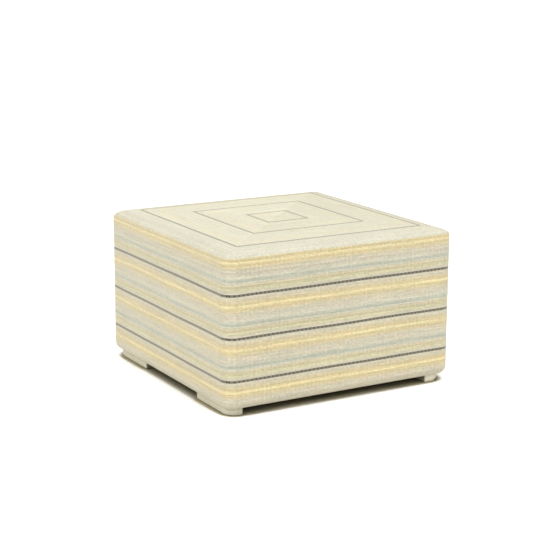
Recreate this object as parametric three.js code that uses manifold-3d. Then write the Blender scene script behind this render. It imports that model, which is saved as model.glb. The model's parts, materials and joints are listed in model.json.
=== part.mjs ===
// Outdoor ottoman footstool: a skin woven over a welded aluminium tube frame, on four low feet.
// Millimetres, +Z up. The origin is on the floor under the middle of the stool, and -Y is its front.
import * as THREE from 'three';
import { mergeVertices } from 'three/addons/utils/BufferGeometryUtils.js';
import Module from 'manifold-3d';

const wasm = await Module();
wasm.setup();

// Overall sizes
const SIDE = 640;
const HEIGHT = 396;
const BODY_CLEARANCE = 17; // from the floor to the underside of the woven body
const FIT = 0.3; // gap between pieces that lie on each other

// Woven skin and the tubes that it is stretched over
const SKIN = 4.7;
const SHOULDER_INSET = 62; // the top slopes from here down to its edge
const SHOULDER_DROP = 3.4; // below the flat middle of the top
const SHOULDER_TILT = 7 * Math.PI / 180;
const FLAT_INSET = 163; // the top's middle is flat from here on
const TUBE_RADIUS = 21; // corner posts and top rails
const TUBE_WALL = 2;
const LOW_RADIUS = 16; // rounded outer lower corner of the bottom rails
const RAIL_WIDTH = 32; // bottom rails, an extruded section
const RAIL_HEIGHT = 32;
const RAIL_WALL = 2.5;
const UPRIGHT_WIDTH = 25;
const MITRE_BAR_WIDTH = 25;
const BAR_WALL = 2;
const HUB_WIDTH = 60;
const HUB_WALL = 4;
const GUSSET_LENGTH = 90;
const GUSSET_THICKNESS = 6;
const DRAIN_RADIUS = 3; // rain runs out of the posts here
const COPE_SETBACK = 6; // keeps a rail's shaped end from thinning to nothing

// Feet
const FOOT_INSET = 15; // the woven foot's face, in from the body's face
const FOOT_WIDTH = 42;
const FOOT_LENGTH = 165; // along Y
const FOOT_CORNER = 30; // plan radius at the stool's corner
const FOOT_EASED = 6; // plan radius at the other three corners
const FOOT_EDGE = 6; // rounding of the foot's lower edge
const NECK_INSET = 15; // from the foot's inner end
const NECK_LENGTH = 120;
const NECK_LAP = 1; // how far the neck is let into the foot's body
const GLIDE_HEIGHT = 3;
const GLIDE_INSET = 2; // the glide's rim, in from the foot's face

// Strips that hold the strand ends under the bottom rails
const STRIP_THICKNESS = 2;
const STRIP_SCREW_SHARE = 0.62; // place of each screw, as a share of the strip's half length

// Screws
const SCREW_RADIUS = 2;
const SCREW_HOLE = 2.3;
const HEAD_RADIUS = 4;
const HEAD_HEIGHT = 1.8;
const HEAD_SEAT = 0.4; // gap round a sunk head
const STRIP_SCREW_DEPTH = 8;
const GLIDE_SCREW_DEPTH = 9;
const GLIDE_SCREW_INSET = 40; // from each end of the foot
const DRILL_REACH = 3; // how far a hole goes on past its screw's tip
const CUT_OVERLAP = 1; // how far a cutter reaches past the face that it enters

// Steps in a quarter of a circle, coarser where nothing shows
const ARC = 4;
const SMALL_ARC = 2;
const TURN = 4 * ARC;
const SCREW_TURN = 8;

// Worked out from the sizes above
const HALF = SIDE / 2;
const LAYER = SKIN + FIT;
const EDGE_RADIUS = TUBE_RADIUS + LAYER; // outside of the skin over a tube
const LOW_EDGE_RADIUS = LOW_RADIUS + LAYER;
const AXIS = HALF - EDGE_RADIUS; // from the middle to the axis of each post and top rail
const SHOULDER_Z = HEIGHT - SHOULDER_DROP;
const TILT_START = EDGE_RADIUS * (1 - Math.sin(SHOULDER_TILT)); // inset where the edge's arc meets the slope
const TILT_RISE = (SHOULDER_INSET - TILT_START) * Math.tan(SHOULDER_TILT);
const TOP_AXIS_Z = SHOULDER_Z - TILT_RISE - EDGE_RADIUS * Math.cos(SHOULDER_TILT);
const LOW_AXIS_Z = BODY_CLEARANCE + LOW_EDGE_RADIUS;
const FRAME_FACE = HALF - LAYER; // outer face of the frame
const HUB_TOP = HEIGHT - LAYER;
const FRAME_BOTTOM = BODY_CLEARANCE + LAYER;
const RAIL_TOP = FRAME_BOTTOM + RAIL_HEIGHT;
const RAIL_INNER = FRAME_FACE - RAIL_WIDTH;
const RAIL_FLAT = RAIL_WIDTH - LOW_RADIUS; // flat underside of a bottom rail
const STRIP_WIDTH = RAIL_FLAT - FIT;
const STRIP_LANE = RAIL_INNER + STRIP_WIDTH / 2; // middle of a strip, from the stool's middle
const STRIP_TOP = FRAME_BOTTOM - FIT;
const BAR_REACH = AXIS - TUBE_RADIUS - FIT; // outer corners of a mitre bar, from the stool's middle in plan
const BAR_END_DROP = (SHOULDER_INSET - HALF + BAR_REACH) * Math.tan(SHOULDER_TILT);
const BAR_END_TOP = SHOULDER_Z - BAR_END_DROP - LAYER / Math.cos(SHOULDER_TILT);
const FOOT_FACE = HALF - FOOT_INSET;
const GLIDE_LANE = FOOT_FACE - FOOT_WIDTH / 2;
const FOOT_INNER_END = FOOT_FACE - FOOT_LENGTH;
const NECK_START = FOOT_INNER_END + NECK_INSET;

const SIDES = ['front', 'right', 'back', 'left'];
const CORNERS = [['front_left', -1, -1], ['front_right', 1, -1], ['back_right', 1, 1], ['back_left', -1, 1]];

const finishes = {
  sideWeave: { color: 0xd3cbaa, roughness: 0.75, metalness: 0 },
  topWeave: { color: 0xdad3b4, roughness: 0.75, metalness: 0 },
  footWeave: { color: 0xcbc2a2, roughness: 0.75, metalness: 0 },
  frame: { color: 0xb9b2a3, roughness: 0.5, metalness: 0.35 },
  casting: { color: 0xa9a294, roughness: 0.55, metalness: 0.35 },
  strip: { color: 0x8f8a7e, roughness: 0.4, metalness: 0.8 },
  glide: { color: 0x3b352c, roughness: 0.6, metalness: 0 },
  screw: { color: 0xb4b4b2, roughness: 0.3, metalness: 1 },
};

const stool = new THREE.Group();

function addPiece(group, name, geometry, finish) {
  const faceted = geometry.index ? geometry.toNonIndexed() : geometry;
  faceted.computeVertexNormals();
  const mesh = new THREE.Mesh(faceted, new THREE.MeshStandardMaterial(finishes[finish]));
  mesh.name = name;
  group.add(mesh);
  return mesh;
}

// Drops the triangles that a radius of nothing leaves without area
function withoutSlivers(geometry) {
  const bare = geometry.clone();
  bare.deleteAttribute('normal');
  bare.deleteAttribute('uv');
  const merged = mergeVertices(bare, 1e-4);
  const kept = [];
  for (let i = 0; i < merged.index.count; i += 3) {
    const [a, b, c] = [0, 1, 2].map((k) => merged.index.getX(i + k));
    if (a !== b && b !== c && c !== a) kept.push(a, b, c);
  }
  merged.setIndex(kept);
  return merged;
}

function solidOf(geometry) {
  const clean = withoutSlivers(geometry);
  return new wasm.Manifold(new wasm.Mesh({
    numProp: 3,
    vertProperties: new Float32Array(clean.attributes.position.array),
    triVerts: new Uint32Array(clean.index.array),
  }));
}

function geometryOf(solid) {
  const mesh = solid.getMesh();
  const geometry = new THREE.BufferGeometry();
  geometry.setAttribute('position', new THREE.BufferAttribute(new Float32Array(mesh.vertProperties), 3));
  geometry.setIndex(Array.from(mesh.triVerts));
  return geometry;
}

function cut(geometry, tools) {
  return geometryOf(tools.reduce((solid, tool) => solid.subtract(solidOf(tool)), solidOf(geometry)));
}

function join(geometries) {
  return geometryOf(geometries.map(solidOf).reduce((whole, solid) => whole.add(solid)));
}

// Points of an arc as [across, up], with both ends
function arc(across, up, radius, from, to, steps = ARC) {
  const points = [];
  for (let i = 0; i <= steps; i += 1) {
    const angle = from + (to - from) * i / steps;
    points.push([across + radius * Math.cos(angle), up + radius * Math.sin(angle)]);
  }
  return points;
}

// Sweeps a profile of [inset, height] points round an outline that shrinks with the inset.
// The profile goes up on the outside; an open one is capped flat at both ends.
function sweep(profile, outlineAt, closed) {
  const rings = profile.map(([inset, z]) => outlineAt(inset).map(([x, y]) => [x, y, z]));
  const across = rings[0].length;
  const index = [];
  const last = closed ? rings.length : rings.length - 1;
  for (let i = 0; i < last; i += 1) {
    const next = (i + 1) % rings.length;
    for (let j = 0; j < across; j += 1) {
      const k = (j + 1) % across;
      const [a, b, c, d] = [i * across + j, i * across + k, next * across + k, next * across + j];
      index.push(a, b, c, a, c, d);
    }
  }
  if (!closed) {
    const top = (rings.length - 1) * across;
    for (let j = 1; j < across - 1; j += 1) {
      index.push(0, j + 1, j);
      index.push(top, top + j, top + j + 1);
    }
  }
  const geometry = new THREE.BufferGeometry();
  geometry.setAttribute('position', new THREE.Float32BufferAttribute(rings.flat(2), 3));
  geometry.setIndex(index);
  return withoutSlivers(geometry);
}

// Counter-clockwise rectangle with its own radius at each corner
function roundedRectangle(x0, y0, x1, y1, radii) {
  const [lowLeft, lowRight, highRight, highLeft] = radii;
  const quarter = Math.PI / 2;
  return [
    ...arc(x0 + lowLeft, y0 + lowLeft, lowLeft, 2 * quarter, 3 * quarter),
    ...arc(x1 - lowRight, y0 + lowRight, lowRight, 3 * quarter, 4 * quarter),
    ...arc(x1 - highRight, y1 - highRight, highRight, 0, quarter),
    ...arc(x0 + highLeft, y1 - highLeft, highLeft, quarter, 2 * quarter),
  ];
}

function bodyOutline(inset) {
  const reach = HALF - inset;
  const radius = Math.max(EDGE_RADIUS - inset, 0);
  return roundedRectangle(-reach, -reach, reach, reach, [radius, radius, radius, radius]);
}

function sideWeave() {
  const quarter = Math.PI / 2;
  const top = TOP_AXIS_Z - FIT;
  const under = arc(LOW_EDGE_RADIUS, LOW_AXIS_Z, LOW_EDGE_RADIUS, 3 * quarter, 2 * quarter);
  const inside = arc(LOW_EDGE_RADIUS, LOW_AXIS_Z, LOW_EDGE_RADIUS - SKIN, 2 * quarter, 3 * quarter);
  return sweep([...under, [0, top], [SKIN, top], ...inside], bodyOutline, true);
}

// The taut top: an arc over the rails, a slope up to the shoulder and a gentler one to the flat middle
function topWeave() {
  const level = Math.PI / 2 + SHOULDER_TILT;
  const inside = arc(EDGE_RADIUS, TOP_AXIS_Z, EDGE_RADIUS - SKIN, level, Math.PI);
  const outside = arc(EDGE_RADIUS, TOP_AXIS_Z, EDGE_RADIUS, Math.PI, level);
  const crown = [[SHOULDER_INSET, SHOULDER_Z], [FLAT_INSET, HEIGHT]];
  const under = crown.map(([inset, z]) => [inset, z - SKIN]).reverse();
  return sweep([...under, ...inside, ...outside, ...crown], bodyOutline, false);
}

function lathe(points) {
  const outline = points.map(([r, z]) => new THREE.Vector2(r, z));
  return new THREE.LatheGeometry(outline, TURN).rotateX(Math.PI / 2);
}

// Outside of a corner post, from its rounded lower end up to its dome
function postOutside(grow) {
  const quarter = Math.PI / 2;
  const foot = arc(TUBE_RADIUS - LOW_RADIUS, LOW_AXIS_Z, LOW_RADIUS + grow, -quarter, 0);
  const dome = arc(0, TOP_AXIS_Z, TUBE_RADIUS + grow, 0, quarter);
  return [...foot, ...dome];
}

function postEnvelope() {
  return lathe([[0, FRAME_BOTTOM - FIT], ...postOutside(FIT)]);
}

function cornerPost() {
  const quarter = Math.PI / 2;
  const bore = TUBE_RADIUS - TUBE_WALL;
  const floor = FRAME_BOTTOM + TUBE_WALL;
  const dome = arc(0, TOP_AXIS_Z, bore, quarter, 0, SMALL_ARC);
  const foot = arc(TUBE_RADIUS - LOW_RADIUS, LOW_AXIS_Z, LOW_RADIUS - TUBE_WALL, 0, -quarter, SMALL_ARC);
  return lathe([[DRAIN_RADIUS, floor], [DRAIN_RADIUS, FRAME_BOTTOM], ...postOutside(0), ...dome, ...foot,
    [DRAIN_RADIUS, floor]]);
}

// Extrudes a shape drawn in Y and Z along X, centred on the middle
function alongX(shape, length) {
  const bar = new THREE.ExtrudeGeometry(shape, { depth: length, bevelEnabled: false, curveSegments: ARC });
  const turn = new THREE.Matrix4().makeBasis(
    new THREE.Vector3(0, 1, 0),
    new THREE.Vector3(0, 0, 1),
    new THREE.Vector3(1, 0, 0),
  );
  return bar.applyMatrix4(turn).translate(-length / 2, 0, 0);
}

function pathThrough(Kind, points) {
  const path = new Kind();
  points.forEach(([a, b], i) => (i === 0 ? path.moveTo(a, b) : path.lineTo(a, b)));
  path.closePath();
  return path;
}

function circlePoints(across, up, radius) {
  return arc(across, up, radius, 0, 2 * Math.PI, TURN).slice(0, TURN);
}

function boxTube(y0, z0, y1, z1, wall) {
  const shape = pathThrough(THREE.Shape, [[y0, z0], [y1, z0], [y1, z1], [y0, z1]]);
  const [left, low, right, high] = [y0 + wall, z0 + wall, y1 - wall, z1 - wall];
  shape.holes.push(pathThrough(THREE.Path, [[left, low], [right, low], [right, high], [left, high]]));
  return shape;
}

// Ends of a rail are mitred to the next side's rail and shaped to the two posts
function shapedToPosts(rail) {
  const [outer, inner] = [HALF - FIT, HALF / 2 - FIT];
  const plan = [[-outer, -HALF], [outer, -HALF], [inner, -HALF / 2], [-inner, -HALF / 2]];
  const mitred = solidOf(rail).intersect(solidOf(slab(plan, 0, HEIGHT)));
  return cut(geometryOf(mitred), [-AXIS, AXIS].map((x) => postEnvelope().translate(x, -AXIS, 0)));
}

function topRail() {
  const shape = pathThrough(THREE.Shape, circlePoints(-AXIS, TOP_AXIS_Z, TUBE_RADIUS));
  shape.holes.push(pathThrough(THREE.Path, circlePoints(-AXIS, TOP_AXIS_Z, TUBE_RADIUS - TUBE_WALL)));
  return shapedToPosts(alongX(shape, 2 * (AXIS - COPE_SETBACK)));
}

function railOutline(shrink) {
  const [outer, inner] = [-FRAME_FACE + shrink, -RAIL_INNER - shrink];
  const [low, high] = [FRAME_BOTTOM + shrink, RAIL_TOP - shrink];
  const corner = arc(-FRAME_FACE + LOW_RADIUS, LOW_AXIS_Z, LOW_RADIUS - shrink, Math.PI, 1.5 * Math.PI);
  return [[outer, high], ...corner, [inner, low], [inner, high]];
}

function bottomRail(screws) {
  const shape = pathThrough(THREE.Shape, railOutline(0));
  shape.holes.push(pathThrough(THREE.Path, railOutline(RAIL_WALL)));
  const rail = shapedToPosts(alongX(shape, 2 * (AXIS - COPE_SETBACK)));
  const low = FRAME_BOTTOM - CUT_OVERLAP;
  return cut(rail, screws.map((x) => hole(x, -STRIP_LANE, low, RAIL_WALL + 2 * CUT_OVERLAP, SCREW_HOLE)));
}

// Upright cylinder that cuts a hole, from z up
function hole(x, y, z, length, radius) {
  const drill = new THREE.CylinderGeometry(radius, radius, length, SCREW_TURN).rotateX(Math.PI / 2);
  return drill.translate(x, y, z + length / 2);
}

function upright() {
  const half = UPRIGHT_WIDTH / 2;
  const shape = boxTube(-half, -FRAME_FACE, half, UPRIGHT_WIDTH - FRAME_FACE, BAR_WALL);
  const bottom = RAIL_TOP + FIT;
  const height = TOP_AXIS_Z - bottom;
  const tube = new THREE.ExtrudeGeometry(shape, { depth: height, bevelEnabled: false });
  tube.translate(0, 0, bottom);
  const railEnvelope = pathThrough(THREE.Shape, circlePoints(-AXIS, TOP_AXIS_Z, TUBE_RADIUS + FIT));
  return cut(tube, [alongX(railEnvelope, 2 * UPRIGHT_WIDTH)]);
}

// A bar that rises from the corner to the hub, so that it follows the top
function mitreBar() {
  const half = MITRE_BAR_WIDTH / 2;
  const shape = boxTube(-half, BAR_END_TOP - MITRE_BAR_WIDTH, half, BAR_END_TOP, BAR_WALL);
  const start = HUB_WIDTH / 2 + FIT;
  const end = BAR_REACH * Math.SQRT2 - half;
  const slope = (HUB_TOP - BAR_END_TOP) / (end - start);
  const level = alongX(shape, end - start).translate((start - end) / 2, 0, 0);
  return level.applyMatrix4(new THREE.Matrix4().makeShear(0, -slope, 0, 0, 0, 0)).translate(end, 0, 0);
}

function hub() {
  const half = HUB_WIDTH / 2;
  const shape = boxTube(-half, -half, half, half, HUB_WALL);
  const block = new THREE.ExtrudeGeometry(shape, { depth: MITRE_BAR_WIDTH, bevelEnabled: false });
  return block.translate(0, 0, HUB_TOP - MITRE_BAR_WIDTH);
}

// Triangular plate in the corner of the two top rails, which carries the end of a mitre bar
function gusset() {
  const top = BAR_END_TOP - MITRE_BAR_WIDTH - FIT;
  const drop = TOP_AXIS_Z - top;
  const edge = AXIS - Math.sqrt(TUBE_RADIUS ** 2 - drop ** 2) - FIT;
  const tip = edge - GUSSET_LENGTH;
  const shape = pathThrough(THREE.Shape, [[edge, edge], [tip, edge], [edge, tip]]);
  const plate = new THREE.ExtrudeGeometry(shape, { depth: GUSSET_THICKNESS, bevelEnabled: false });
  return plate.translate(0, 0, top - GUSSET_THICKNESS);
}

// Plan of a foot, mirrored into its own quarter of the stool
function footOutline(signX, signY) {
  return (inset) => {
    const [near, start] = [FOOT_FACE - FOOT_WIDTH + inset, FOOT_INNER_END + inset];
    const reach = FOOT_FACE - inset;
    const eased = Math.max(FOOT_EASED - inset, FIT);
    const radii = [eased, eased, FOOT_CORNER - inset, eased];
    const quarter = roundedRectangle(near, start, reach, reach, radii);
    const plan = quarter.map(([x, y]) => [x * signX, y * signY]);
    return signX * signY > 0 ? plan : plan.reverse();
  };
}

function footWeave(outline) {
  const quarter = Math.PI / 2;
  const low = GLIDE_HEIGHT + FIT;
  const top = BODY_CLEARANCE - FIT;
  const under = arc(FOOT_EDGE, low + FOOT_EDGE, FOOT_EDGE, 3 * quarter, 2 * quarter, SMALL_ARC);
  const inside = arc(FOOT_EDGE, low + FOOT_EDGE, FOOT_EDGE - SKIN, 2 * quarter, 3 * quarter, SMALL_ARC);
  return sweep([...under, [0, top], [SKIN, top], ...inside], outline, true);
}

function slab(points, low, high) {
  const shape = pathThrough(THREE.Shape, points);
  return new THREE.ExtrudeGeometry(shape, { depth: high - low, bevelEnabled: false }).translate(0, 0, low);
}

function glideScrewPlaces(signX, signY) {
  const ends = [FOOT_INNER_END + GLIDE_SCREW_INSET, FOOT_FACE - GLIDE_SCREW_INSET];
  return ends.map((y) => [signX * GLIDE_LANE, signY * y]);
}

// Casting inside a foot: a boss through the weave, a body and a neck that is welded to the bottom rail
function footCasting(outline, signX, signY) {
  const shoulder = GLIDE_HEIGHT + FIT + FOOT_EDGE;
  const boss = slab(outline(FOOT_EDGE + FIT), GLIDE_HEIGHT + FIT, shoulder + CUT_OVERLAP);
  const body = slab(outline(LAYER), shoulder, BODY_CLEARANCE - FIT);
  const [near, far] = [RAIL_INNER * signX, (RAIL_INNER + STRIP_WIDTH) * signX];
  const [start, end] = [NECK_START * signY, (NECK_START + NECK_LENGTH) * signY];
  const neckPlan = [[near, start], [far, start], [far, end], [near, end]];
  const neck = slab(neckPlan, BODY_CLEARANCE - FIT - NECK_LAP, FRAME_BOTTOM - FIT);
  const drilled = GLIDE_SCREW_DEPTH + DRILL_REACH;
  const holes = glideScrewPlaces(signX, signY).map(([x, y]) => hole(x, y, 0, drilled, SCREW_HOLE));
  return cut(join([boss, body, neck]), holes);
}

function footGlide(outline, signX, signY) {
  const holes = glideScrewPlaces(signX, signY).flatMap(([x, y]) => [
    hole(x, y, -CUT_OVERLAP, HEAD_HEIGHT + CUT_OVERLAP + HEAD_SEAT, HEAD_RADIUS + HEAD_SEAT),
    hole(x, y, 0, GLIDE_HEIGHT + CUT_OVERLAP, SCREW_HOLE),
  ]);
  return cut(slab(outline(GLIDE_INSET), 0, GLIDE_HEIGHT), holes);
}

// Pan-head screw that points up, with the underside of its head at the origin
function screw(depth) {
  const profile = [[0, -HEAD_HEIGHT], [HEAD_RADIUS * 0.7, -HEAD_HEIGHT], [HEAD_RADIUS, -HEAD_HEIGHT * 0.55],
    [HEAD_RADIUS, 0], [SCREW_RADIUS, 0], [SCREW_RADIUS, depth - SCREW_RADIUS], [0, depth]];
  const outline = profile.map(([r, z]) => new THREE.Vector2(r, z));
  return new THREE.LatheGeometry(outline, SCREW_TURN).rotateX(Math.PI / 2);
}

function holdingStrip(halfLength, screws) {
  const [near, far] = [-STRIP_LANE - STRIP_WIDTH / 2, -STRIP_LANE + STRIP_WIDTH / 2];
  const low = STRIP_TOP - STRIP_THICKNESS;
  const shape = pathThrough(THREE.Shape, [[near, low], [far, low], [far, STRIP_TOP], [near, STRIP_TOP]]);
  const depth = STRIP_THICKNESS + 2 * CUT_OVERLAP;
  const holes = screws.map((x) => hole(x, -STRIP_LANE, low - CUT_OVERLAP, depth, SCREW_HOLE));
  return cut(alongX(shape, 2 * halfLength), holes);
}

// The frame's four sides, each built at the front and turned into place
SIDES.forEach((side, k) => {
  const quarter = new THREE.Group();
  quarter.rotation.z = k * Math.PI / 2;
  stool.add(quarter);
  const alongFeet = side === 'left' || side === 'right';
  const stripHalf = alongFeet ? NECK_START - FIT : AXIS - TUBE_RADIUS - FIT;
  const screws = [-STRIP_SCREW_SHARE * stripHalf, STRIP_SCREW_SHARE * stripHalf];
  addPiece(quarter, `top_rail_${side}`, topRail(), 'frame');
  addPiece(quarter, `bottom_rail_${side}`, bottomRail(screws), 'frame');
  addPiece(quarter, `side_upright_${side}`, upright(), 'frame');
  addPiece(quarter, `holding_strip_${side}`, holdingStrip(stripHalf, screws), 'strip');
  screws.forEach((x, i) => {
    const piece = addPiece(quarter, `strip_screw_${side}_${i + 1}`, screw(STRIP_SCREW_DEPTH), 'screw');
    piece.position.set(x, -STRIP_LANE, STRIP_TOP - STRIP_THICKNESS - FIT);
  });
});

// The four corners
CORNERS.forEach(([corner, signX, signY]) => {
  const post = addPiece(stool, `corner_post_${corner}`, cornerPost(), 'frame');
  post.position.set(signX * AXIS, signY * AXIS, 0);
  const diagonal = new THREE.Group();
  diagonal.rotation.z = Math.atan2(signY, signX);
  stool.add(diagonal);
  addPiece(diagonal, `mitre_bar_${corner}`, mitreBar(), 'frame');
  const plate = addPiece(diagonal, `gusset_${corner}`, gusset(), 'frame');
  plate.rotation.z = -Math.PI / 4;
  const outline = footOutline(signX, signY);
  addPiece(stool, `foot_casting_${corner}`, footCasting(outline, signX, signY), 'casting');
  addPiece(stool, `foot_weave_${corner}`, footWeave(outline), 'footWeave');
  addPiece(stool, `foot_glide_${corner}`, footGlide(outline, signX, signY), 'glide');
  glideScrewPlaces(signX, signY).forEach(([x, y], i) => {
    const piece = addPiece(stool, `glide_screw_${corner}_${i + 1}`, screw(GLIDE_SCREW_DEPTH), 'screw');
    piece.position.set(x, y, HEAD_HEIGHT + HEAD_SEAT - FIT);
  });
});

const hubMesh = addPiece(stool, 'centre_hub', hub(), 'casting');
hubMesh.rotation.z = Math.PI / 4;
addPiece(stool, 'side_weave', sideWeave(), 'sideWeave');
addPiece(stool, 'top_weave', topWeave(), 'topWeave');

export default stool;
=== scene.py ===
# %% [markdown]
# # A woven outdoor ottoman
# The stool is a box of welded tube with a skin woven on it in place. Outdoor strands of many
# shades run level round the box and make its stripes. On the top they run in squares, which
# meet on the diagonals. Low feet are wrapped in a plain weave of the same strands.
#
# The frame under the skin comes ready-made, at its real size. This lesson dresses it: it weaves
# the skin as real geometry, mixes the finishes and lights a plain studio.

# %% Load the frame
import json
import math

import bmesh
import bpy
import numpy as np
from mathutils import Matrix, Vector


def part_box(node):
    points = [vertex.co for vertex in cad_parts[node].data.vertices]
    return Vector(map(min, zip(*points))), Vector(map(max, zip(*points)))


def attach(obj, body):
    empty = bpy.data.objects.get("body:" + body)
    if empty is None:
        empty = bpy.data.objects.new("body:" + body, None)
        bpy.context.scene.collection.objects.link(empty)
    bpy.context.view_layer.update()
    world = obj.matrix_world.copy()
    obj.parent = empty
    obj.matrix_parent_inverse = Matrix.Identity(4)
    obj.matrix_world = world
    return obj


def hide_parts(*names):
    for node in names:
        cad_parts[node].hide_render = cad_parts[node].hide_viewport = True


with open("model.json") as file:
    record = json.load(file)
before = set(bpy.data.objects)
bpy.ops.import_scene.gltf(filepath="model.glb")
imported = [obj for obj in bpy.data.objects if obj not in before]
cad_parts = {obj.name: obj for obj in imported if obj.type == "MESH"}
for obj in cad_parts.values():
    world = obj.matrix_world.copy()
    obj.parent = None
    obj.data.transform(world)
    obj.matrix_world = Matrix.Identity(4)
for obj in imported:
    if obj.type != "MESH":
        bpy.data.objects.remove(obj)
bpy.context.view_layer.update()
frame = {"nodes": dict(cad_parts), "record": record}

SIDES = ["front", "right", "back", "left"]
CORNERS = ["front_left", "front_right", "back_right", "back_left"]

# %% [markdown]
# ## Sizes of the skin
# A dressed piece has to lie where the frame's own plain skin lies. The sizes could be typed in
# again, but they would drift apart when the frame changes, so the outer ones are read from its
# boxes. The roundings are softer than a tube's, because the taut skin bridges them: it leaves the
# side below the rail and comes to rest on the top only at the first of the squares.

# %% Read the skin's sizes
side_low, side_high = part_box("side_weave")
top_low, top_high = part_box("top_weave")
HALF, HEM, TOP = side_high.x, side_low.z, top_high.z
PLAN_RADIUS = 0.0314
LOW_EDGE_RADIUS = 0.021
SHOULDER_INSET, SHOULDER_RISE, SHOULDER_DROP = 0.062, 0.0193, 0.0034
FLAT_INSET = 0.163
ROUNDNESS = 1.86
THICKNESS = 0.0023
FLAT = HALF - PLAN_RADIUS
SHOULDER = TOP - SHOULDER_DROP
print("half width", round(HALF, 4), "hem", round(HEM, 4), "shoulder", round(SHOULDER, 4))

# %% [markdown]
# ## Camera
# The camera comes first, so that every later step can be judged from the same place. It could be
# set by eye, but a long lens hides small mistakes there. Its place was worked out from the
# stool's own stripes and corners, and is written here as angles, a distance and a focal length
# in pixels of the picture. The picture was taken with a very slight roll.

# %% Place the camera
AZIMUTH, ELEVATION, ROLL = math.radians(-30.29), math.radians(13.28), math.radians(0.30)
DISTANCE = 3.8829
LOOK_AT = Vector((-0.0053, 0, 0.2431))
PICTURE_WIDTH = 550
FOCAL_PIXELS = 1520.2

back = Vector((
    math.sin(AZIMUTH) * math.cos(ELEVATION),
    -math.cos(AZIMUTH) * math.cos(ELEVATION),
    math.sin(ELEVATION),
))
camera = bpy.data.objects.new("camera", bpy.data.cameras.new("camera"))
camera.data.sensor_width = 36
camera.data.lens = camera.data.sensor_width * FOCAL_PIXELS / PICTURE_WIDTH
turned = back.to_track_quat("Z", "Y").to_matrix().to_4x4() @ Matrix.Rotation(ROLL, 4, "Z")
camera.matrix_world = Matrix.Translation(LOOK_AT + back * DISTANCE) @ turned
bpy.context.scene.collection.objects.link(camera)
bpy.context.scene.camera = camera
print("lens", round(camera.data.lens, 2), "mm")

# %% [markdown]
# ## Small helpers for shader nodes
# A finish is a chain of many small sums. Written out node by node it is hard to follow, so a few
# helpers keep the chains short: one adds a node, one joins a value or a socket to an input, and
# the others make a sum, a smooth step, a swing about nothing or a mix of colours and give back
# its result.

# %% Node helpers
def add_node(tree, kind, **settings):
    made = tree.nodes.new(kind)
    for name, value in settings.items():
        setattr(made, name, value)
    return made


def feed(tree, value, socket):
    if isinstance(value, bpy.types.NodeSocket):
        tree.links.new(value, socket)
    else:
        socket.default_value = value


def sum_of(tree, operation, *values, clamp=False):
    made = add_node(tree, "ShaderNodeMath", operation=operation, use_clamp=clamp)
    for value, socket in zip(values, made.inputs):
        feed(tree, value, socket)
    return made.outputs[0]


def swing(tree, value, scale):
    """A value from 0 to 1, moved so that it swings about nothing, and scaled."""
    return sum_of(tree, "MULTIPLY", sum_of(tree, "SUBTRACT", value, 0.5), scale)


def span(tree, value, low, high, out_low, out_high):
    """Maps low..high smoothly to out_low..out_high."""
    made = add_node(tree, "ShaderNodeMapRange", interpolation_type="SMOOTHSTEP")
    for number, socket in zip((value, low, high, out_low, out_high), made.inputs):
        feed(tree, number, socket)
    return made.outputs["Result"]


def mixed(tree, factor, first, second, how="MIX"):
    made = add_node(tree, "ShaderNodeMix", data_type="RGBA", blend_type=how, clamp_factor=True)
    colours = [socket for socket in made.inputs if socket.type == "RGBA"]
    feed(tree, factor, made.inputs[0])
    feed(tree, first, colours[0])
    feed(tree, second, colours[1])
    return [socket for socket in made.outputs if socket.type == "RGBA"][0]


# %% Group helpers
def new_group(name, inputs, outputs):
    """A shader node group. Each socket is (name, kind) or (name, kind, starting value)."""
    group = bpy.data.node_groups.new(name, "ShaderNodeTree")
    for way, sockets in (("INPUT", inputs), ("OUTPUT", outputs)):
        for title, kind, *start in sockets:
            made = group.interface.new_socket(title, in_out=way, socket_type="NodeSocket" + kind)
            if start:
                made.default_value = start[0]
    given = group.nodes.new("NodeGroupInput").outputs
    return group, given, group.nodes.new("NodeGroupOutput").inputs


def use_group(tree, group, **values):
    made = add_node(tree, "ShaderNodeGroup", node_tree=group)
    for name, value in values.items():
        feed(tree, value, made.inputs[name.replace("_", " ")])
    return made.outputs


# %% Material helpers
def srgb(red, green, blue):
    """A colour in the 0 to 255 steps of a paint chart, as the light values that nodes use."""
    steps = [x / 255 for x in (red, green, blue)]
    return (*[x / 12.92 if x < 0.04045 else ((x + 0.055) / 1.055) ** 2.4 for x in steps], 1)


def new_material(name):
    material = bpy.data.materials.new(name)
    material.use_nodes = True
    return material, material.node_tree, material.node_tree.nodes["Principled BSDF"]


def raise_surface(tree, surface, height, strength, distance):
    """Lets a height that changes over the surface tilt its normal."""
    bump = add_node(tree, "ShaderNodeBump")
    bump.inputs["Strength"].default_value = strength
    bump.inputs["Distance"].default_value = distance
    feed(tree, height, bump.inputs["Height"])
    feed(tree, bump.outputs["Normal"], surface.inputs["Normal"])


# %% [markdown]
# ## Effect: stitches
# Each strand passes round one upright after another, and shows as a row of short stitches with a
# small gap at every upright. The skin's mesh holds their relief. The finer things are drawn here:
# which stitch and which row a point is on, the gap beside each stitch, the groove between rows,
# the fibres that run along the strand, and slow streaks where a spool's shade or hue drifts. The
# uprights come in pairs, and every other stitch lies a little lower between them. One group
# serves every woven piece. It reads the place in stitches and rows that each mesh carries, so it
# follows the weave round corners.

# %% Helpers for places in the weave
def parted(group, place):
    """The number of the stitch or row that a place is in, and how far across it the place is."""
    number = sum_of(group, "FLOOR", place)
    return number, sum_of(group, "SUBTRACT", place, number)


def around_middle(group, share):
    """0 in the middle of a stitch or row, 1 at both of its edges."""
    off = sum_of(group, "ABSOLUTE", sum_of(group, "SUBTRACT", share, 0.5))
    return sum_of(group, "MULTIPLY", off, 2.0)


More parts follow.
